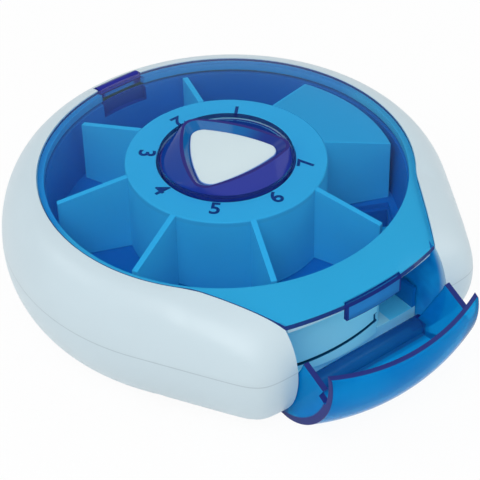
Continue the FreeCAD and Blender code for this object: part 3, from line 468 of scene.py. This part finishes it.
def chute_plastic(name):
    """White chute in painted blue light: pale blue panel with its slit; deeper blue down the
    chute, as painted light on its floor and painted shade on its far walls.
    """
    material, tree, shader = new_material(name)
    axes = Axes(tree)
    fine_bump(tree, shader, axes.point, strength=0.05)
    base = cloudy(tree, axes.point, PANEL_LIT_BLUES)
    beyond = rise(tree, axes.x, CHUTE_X)
    floor = both(tree, beyond, rise(tree, axes.nz, CHUTE_FACING),
                 below(tree, axes.z, CHUTE_FLOOR_TOP_Z))
    walls = both(tree, beyond, outside(tree, floor), rise(tree, axes.z, CHUTE_WALL_FOOT_Z))
    # painted shadow along the panel's slit
    base = blend_colour(tree, slit_mask(tree, axes), base, SLIT_SHADOW_BLUE)
    # painted light on the chute's floor, painted shade on its far walls
    base = blend_colour(tree, floor, base, CHUTE_FLOOR_LIT_BLUE)
    base = blend_colour(tree, walls, base, CHUTE_WALL_SHADE_BLUE)
    tree.links.new(base, shader.inputs["Base Color"])
    soft_body(shader, roughness=0.35, subsurface=0.05)
    return material


# ---------------------------------------------------------------- lid
LID_TINT = (0.19, 0.70, 0.93)
LID_LIGHT = (0.47, 0.85, 0.964)         # tint of the light that falls through it
LID_UPRIGHT = (0.55, 0.70)              # |nz| of its cut edges, and of its faces
EDGE_SHARE = 0.92
TAB_TINT = (0.12, 0.42, 0.86)
# painted light: the tab's milky blue, made paler than its shade leaves it
TAB_LIT_MILK = (0.05, 0.28, 0.60)
TAB_LIT_MILK_SHARE = 0.62
TAB_Y = edge(-57.0, -56.8)
TAB_TOP_Z = edge(30.3, 30.6)
TAB_MIDDLE_X = 1.4 * MM
TAB_BORDER_X = edge(8.3, 8.5)           # from the tab's middle
TAB_BORDER_Z = edge(26.1, 26.2)
HINGE_Y = edge(48.6, 48.8)
HINGE_SIDE = edge(6.8, 6.9)


def lid_plastic(name):
    """Clear blue lid: violet cut edges, a darker pull tab with violet borders, its milky blue
    paler as painted light.
    """
    material, tree, shader = new_material(name)
    tree.nodes.remove(shader)
    axes = Axes(tree)
    tab = both(tree, below(tree, axes.y, TAB_Y), below(tree, axes.z, TAB_TOP_Z))
    cut = both(tree, below(tree, size_of(tree, axes.nz), LID_UPRIGHT), outside(tree, tab))
    off_middle = size_of(tree, minus(tree, axes.x, TAB_MIDDLE_X))
    border = both(tree, tab, either(tree, rise(tree, off_middle, TAB_BORDER_X),
                                    below(tree, axes.z, TAB_BORDER_Z)))
    hinge = both(tree, rise(tree, axes.y, HINGE_Y), below(tree, axes.side, HINGE_SIDE))
    glass = clear_shader(tree, axes, blend_colour(tree, tab, LID_TINT, TAB_TINT),
                         roughness=0.02, ior=1.12)
    dark = gloss_shader(tree, axes, blend_colour(tree, hinge, VIOLET, HINGE_VIOLET),
                        roughness=0.15, level=0.08)
    # painted light in the tab's shade
    lit_milky = gloss_shader(tree, axes, TAB_LIT_MILK, roughness=0.15, level=0.1)
    surface = mix_shader(tree, times(tree, tab, TAB_LIT_MILK_SHARE), glass, lit_milky)
    violet = times(tree, either(tree, cut, border, hinge), EDGE_SHARE)
    surface = mix_shader(tree, violet, surface, dark)
    let_light_through(tree, surface, LID_LIGHT)
    return material


# ---------------------------------------------------------------- door
DOOR_TINT = (0.010, 0.42, 0.82)
DOOR_BLUES = (0.003, 0.29, 0.66), (0.005, 0.36, 0.74)
DOOR_LIGHT = (0.30, 0.72, 0.90)
DOOR_BODY_SHARE = 0.5
DOOR_EDGE_SHARE = 0.95
DOOR_TURN = math.radians(31.5)          # from open, as it stands, to closed
DOOR_PIN_Y, DOOR_PIN_Z = -52.5 * MM, 3.0 * MM
DOOR_HALF_Z = 18.0 * MM                 # half the bulge's height, and its centre's height
DOOR_REACH = 55.5 * MM                  # outer radius at the bulge's foot, and the bulge
DOOR_BULGE = 11.7 * MM
DOOR_SKIN = edge(1.8, 2.3)              # depth below the outer face
DOOR_END_SIDE = edge(23.7, 23.9)
DOOR_RIM_Z = edge(32.1, 32.4)
DOOR_RIM_DEPTH = edge(0.4, 0.6)
CHEEK_SIDE = edge(22.2, 22.4)
CHEEK_FACING = (0.4, 0.6)               # |nx| of a cheek's edges, and of its faces
BARREL_HALF_Y = edge(3.0, 3.6)
BARREL_TOP_Z = edge(5.6, 6.0)
BARREL_SHARE = 0.6


def turn_closed(tree, axes):
    """The point's y and z with the door closed, and its y from the pin as it stands."""
    dy = minus(tree, axes.y, DOOR_PIN_Y)
    dz = minus(tree, axes.z, DOOR_PIN_Z)
    cosine, sine = math.cos(DOOR_TURN), math.sin(DOOR_TURN)
    y = plus(tree, times(tree, dy, cosine), times(tree, dz, sine))
    z = minus(tree, times(tree, dz, cosine), times(tree, dy, sine))
    return plus(tree, y, DOOR_PIN_Y), plus(tree, z, DOOR_PIN_Z), dy


def door_depth(tree, x, y, z):
    """Depth below the closed door's outer face, which is a surface of revolution."""
    share = maths(tree, "DIVIDE", minus(tree, z, DOOR_HALF_Z), DOOR_HALF_Z)
    left = maths(tree, "MAXIMUM", 0.0, minus(tree, 1.0, times(tree, share, share)))
    reach = plus(tree, DOOR_REACH, times(tree, maths(tree, "SQRT", left), DOOR_BULGE))
    return minus(tree, reach, distance(tree, x, y))


def door_plastic(name):
    """Clear deep-blue door: violet rim, cheek edges, hinge and cut ends."""
    material, tree, shader = new_material(name)
    tree.nodes.remove(shader)
    axes = Axes(tree)
    y, z, from_pin = turn_closed(tree, axes)
    depth = door_depth(tree, axes.x, y, z)
    end = both(tree, below(tree, depth, DOOR_SKIN), rise(tree, axes.side, DOOR_END_SIDE))
    rim = both(tree, rise(tree, z, DOOR_RIM_Z), rise(tree, depth, DOOR_RIM_DEPTH))
    cheek = both(tree, rise(tree, axes.side, CHEEK_SIDE),
                 below(tree, size_of(tree, axes.nx), CHEEK_FACING),
                 rise(tree, depth, DOOR_SKIN))
    barrel = both(tree, below(tree, size_of(tree, from_pin), BARREL_HALF_Y),
                  below(tree, axes.z, BARREL_TOP_Z))
    violet = either(tree, end, rim, cheek, times(tree, barrel, BARREL_SHARE))
    glass = clear_shader(tree, axes, DOOR_TINT, roughness=0.03, ior=1.05)
    body = gloss_shader(tree, axes, cloudy(tree, axes.point, DOOR_BLUES, scale=70.0),
                        roughness=0.10, level=0.03)
    dark = gloss_shader(tree, axes, VIOLET, roughness=0.12, level=0.08)
    surface = mix_shader(tree, DOOR_BODY_SHARE, glass, body)
    surface = mix_shader(tree, times(tree, violet, DOOR_EDGE_SHARE), surface, dark)
    let_light_through(tree, surface, DOOR_LIGHT)
    return material


# ---------------------------------------------------------------- button and pad
BUTTON_TINT = (0.04, 0.12, 0.62)
BUTTON_LIGHT = (0.30, 0.40, 0.80)
BUTTON_BODY_SHARE = 0.88
RIM_VIOLET = (0.016, 0.014, 0.20)
# painted light and shade: the flank more violet at the front and bluer at the back, the slope
# inside the rim darker at the front and brighter at the back
FLANK_PAINTED_LIGHT_BLUES = (0.034, 0.050, 0.35), (0.007, 0.055, 0.33)      # front, back
FLANK_Y = edge(-13.0, 1.0)
BOWL_PAINTED_LIGHT_BLUES = (0.014, 0.040, 0.27), (0.006, 0.15, 0.44)
BOWL_Y = edge(-2.0, 6.0)
BOWL_Z = edge(39.1, 39.3)
BOWL_SLOPE = (0.25, 0.4)                # nz of the bowl's inner slope
FLAT = (0.93, 0.97)                     # nz of flat faces
INWARD = edge(-1.0, 0.0)                # the normal times the place, seen from above
PAD_WHITE = (0.667, 0.80, 0.84)
PAD_BLUE = (0.18, 0.38, 0.74)
PAD_FLANK = (0.5, 0.97)                 # nz of the sides, and of the top


def button_plastic(name):
    """Violet-blue button: deep flank, brighter slope inside the rim, both toned front to back as
    painted light and shade.
    """
    material, tree, shader = new_material(name)
    tree.nodes.remove(shader)
    axes = Axes(tree)
    tilted = both(tree, rise(tree, axes.z, BOWL_Z), rise(tree, axes.nz, BOWL_SLOPE),
                  below(tree, axes.nz, FLAT))
    outward = plus(tree, times(tree, axes.nx, axes.x), times(tree, axes.ny, axes.y))
    inner = both(tree, tilted, below(tree, outward, INWARD))
    flank = blend_colour(tree, rise(tree, axes.y, FLANK_Y), *FLANK_PAINTED_LIGHT_BLUES)
    bowl = blend_colour(tree, rise(tree, axes.y, BOWL_Y), *BOWL_PAINTED_LIGHT_BLUES)
    colour = blend_colour(tree, rise(tree, axes.nz, FLAT),
                          blend_colour(tree, inner, flank, bowl), RIM_VIOLET)
    glass = clear_shader(tree, axes, BUTTON_TINT, roughness=0.04, ior=1.25)
    body = gloss_shader(tree, axes, colour, roughness=0.08, level=0.10, coat=0.06)
    let_light_through(tree, mix_shader(tree, BUTTON_BODY_SHARE, glass, body), BUTTON_LIGHT)
    return material


def pad_plastic(name):
    """White pad with blue light round its sides."""
    material, tree, shader = new_material(name)
    axes = Axes(tree)
    fine_bump(tree, shader, axes.point, strength=0.04, scale=1000.0)
    base = cloudy(tree, axes.point, tones(PAD_WHITE, spread=0.015), scale=60.0)
    flank = below(tree, axes.nz, PAD_FLANK)
    tree.links.new(blend_colour(tree, flank, base, PAD_BLUE), shader.inputs["Base Color"])
    soft_body(shader, roughness=0.3, subsurface=0.1)
    return material


# ---------------------------------------------------------------- dressing the CAD nodes
def dress(material, *names):
    for name in names:
        mesh = NODES[name].data
        mesh.materials.clear()
        mesh.materials.append(material)


def make_materials():
    acetal = opaque_plastic("acetal", (0.80, 0.80, 0.77), roughness=0.45)
    steel = metal("steel", (0.62, 0.63, 0.65), roughness=0.28)
    ring = opaque_plastic("ring_white", (0.60, 0.74, 0.86), roughness=0.4, level=0.2)
    dress(shell_plastic("shell_white"), "upper_housing", "lower_housing")
    dress(ring, "dial_ring")
    dress(tray_plastic("inner_white"), "tray")
    dress(cup_plastic("cup_blue"), "inner_cup")
    dress(chute_plastic("chute_painted_light"), "pill_chute")
    dress(pad_plastic("pad_white"), "button_pad")
    dress(lid_plastic("lid_clear_blue"), "lid")
    dress(door_plastic("door_clear_blue"), "door")
    dress(button_plastic("button_violet"), "push_button")
    dress(acetal, "ratchet_ring", "spindle", "drive_cam", "drive_pawls")
    dress(steel, "lid_hinge_pin", "door_pin_left", "door_pin_right", "spindle_screws",
          "retaining_washer", "retaining_screw", "detent_ball", "detent_spring",
          "housing_screws")
    ink = opaque_plastic("ink_blue", (0.01, 0.02, 0.18), roughness=0.5)
    return ink, steel


# ---------------------------------------------------------------- numerals on the dial ring
NUMERAL_R = 21.4 * MM
NUMERAL_H = 4.5 * MM
SIZE_PER_HEIGHT = 1.4       # a font's size, for numerals of height 1
NUMERAL_DEPTH = 0.05 * MM   # half its thickness
NUMERAL_SPREAD = 0.13 * MM  # the strokes grow by this on each side
NUMERAL_LIFT = 0.02 * MM
STATION = 45.0              # degrees between two places


def make_numerals(material):
    """Plain numerals on the ring's face, their tops towards the centre."""
    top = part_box("dial_ring")[1].z
    for number in range(1, 8):
        data = bpy.data.curves.new(f"numeral_{number}", "FONT")
        data.body = str(number)
        data.align_x = "CENTER"
        data.align_y = "CENTER"
        data.size = NUMERAL_H * SIZE_PER_HEIGHT
        data.extrude = NUMERAL_DEPTH
        data.offset = NUMERAL_SPREAD
        data.materials.append(material)
        piece = add_object(f"numeral_{number}", data)
        turn = math.radians(STATION * number)
        piece.location = (NUMERAL_R * math.cos(turn), NUMERAL_R * math.sin(turn),
                          top + NUMERAL_LIFT)
        piece.rotation_euler = (0, 0, turn + math.pi / 2)
        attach(piece, "rotor")


# ---------------------------------------------------------------- return spring
SPRING_WIRE = 0.5 * MM      # the wire's radius
SPRING_TURNS = 5.5
SPRING_SIDES = 10           # sides of the wire
SPRING_STEPS = 32           # steps in each turn


def coil_mesh(low, high):
    """A round wire wound up the box from low to high, closed at both ends."""
    radius = (high.x - low.x) / 2 - SPRING_WIRE
    climb = high.z - low.z - 2 * SPRING_WIRE
    count = round(SPRING_TURNS * SPRING_STEPS)
    points, faces = [], []
    for step in range(count + 1):
        turn = 2 * math.pi * step / SPRING_STEPS
        height = low.z + SPRING_WIRE + climb * step / count
        for side in range(SPRING_SIDES):
            angle = 2 * math.pi * side / SPRING_SIDES
            out = radius + SPRING_WIRE * math.cos(angle)
            points.append((out * math.cos(turn), out * math.sin(turn),
                           height + SPRING_WIRE * math.sin(angle)))
    for step in range(count):
        here, there = step * SPRING_SIDES, (step + 1) * SPRING_SIDES
        for side in range(SPRING_SIDES):
            after = (side + 1) % SPRING_SIDES
            faces.append((here + side, here + after, there + after, there + side))
    faces.append(tuple(reversed(range(SPRING_SIDES))))
    faces.append(tuple(count * SPRING_SIDES + side for side in range(SPRING_SIDES)))
    mesh = bpy.data.meshes.new("coil_spring")
    mesh.from_pydata(points, [], faces)
    mesh.polygons.foreach_set("use_smooth", [True] * len(mesh.polygons))
    return mesh


def make_spring(material):
    """Round-wire coil in the return spring's place, fixed to the housing."""
    low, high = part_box("return_spring")
    mesh = coil_mesh(low, high)
    mesh.materials.append(material)
    piece = add_object("coil_spring", mesh)
    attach(piece, "housing")
    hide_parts("return_spring")
    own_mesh(piece)


# ---------------------------------------------------------------- floor and light
FLOOR_HALF = 3.0            # metres
FLOOR_DROP = 0.1 * MM       # below the part's base
FLOOR_COLOUR = (0.95, 0.95, 0.95)
FLOOR_WHITE = 0.94          # share of plain white that the floor shows to the camera
SKY_COLOUR = (0.97, 0.99, 1.0)
SKY_STRENGTH = 0.5
LOOK_AT = Vector((0, 0, 0.02))
LAMPS = (                   # name, place and size in metres, power in watts
    ("key", (-0.7, -0.5, 1.1), (0.9, 0.9), 8.0),
    ("fill", (0.9, -0.6, 0.7), (0.8, 0.8), 2.5),
    ("rear", (-0.9, 0.8, 0.9), (0.7, 0.5), 2.0),
)


def seen_directly(tree):
    """1 for rays from the camera, off glossy surfaces or through clear ones."""
    path = tree.nodes.new("ShaderNodeLightPath")
    return either(tree, path.outputs["Is Camera Ray"], path.outputs["Is Glossy Ray"],
                  path.outputs["Is Transmission Ray"])


def make_stage():
    """A pale floor that keeps the part's shadow."""
    half = FLOOR_HALF
    mesh = bpy.data.meshes.new("floor")
    mesh.from_pydata([(-half, -half, 0), (half, -half, 0), (half, half, 0), (-half, half, 0)],
                     [], [(0, 1, 2, 3)])
    floor = add_object("floor", mesh)
    floor.location.z = -FLOOR_DROP
    material, tree, shader = new_material("floor")
    feed(tree, FLOOR_COLOUR, shader.inputs["Base Color"])
    shader.inputs["Roughness"].default_value = 0.9
    shader.inputs["Specular IOR Level"].default_value = 0.1
    white = tree.nodes.new("ShaderNodeEmission")
    share = times(tree, seen_directly(tree), FLOOR_WHITE)
    mixed = mix_shader(tree, share, shader.outputs["BSDF"], white.outputs["Emission"])
    tree.links.new(mixed, tree.nodes["Material Output"].inputs["Surface"])
    mesh.materials.append(material)


def area_light(name, place, size, power):
    data = bpy.data.lights.new(name, "AREA")
    data.shape = "RECTANGLE"
    data.size, data.size_y = size
    data.energy = power
    lamp = add_object(name, data)
    lamp.location = place
    lamp.rotation_euler = (LOOK_AT - Vector(place)).to_track_quat("-Z", "Y").to_euler()


def background(tree, colour, strength):
    node = tree.nodes.new("ShaderNodeBackground")
    feed(tree, colour, node.inputs["Color"])
    node.inputs["Strength"].default_value = strength
    return node.outputs["Background"]


def make_light():
    """Three soft lamps, and a world that is plain white where it is seen."""
    for lamp in LAMPS:
        area_light(*lamp)
    world = bpy.data.worlds.new("world")
    bpy.context.scene.world = world
    world.use_nodes = True
    tree = world.node_tree
    tree.nodes.clear()
    seen = background(tree, (1.0, 1.0, 1.0), 1.0)
    sky = background(tree, SKY_COLOUR, SKY_STRENGTH)
    out = tree.nodes.new("ShaderNodeOutputWorld")
    tree.links.new(mix_shader(tree, seen_directly(tree), sky, seen), out.inputs["Surface"])


make_camera()
ink, steel = make_materials()
make_numerals(ink)
make_spring(steel)
make_stage()
make_light()
bpy.context.scene.view_settings.view_transform = "Standard"
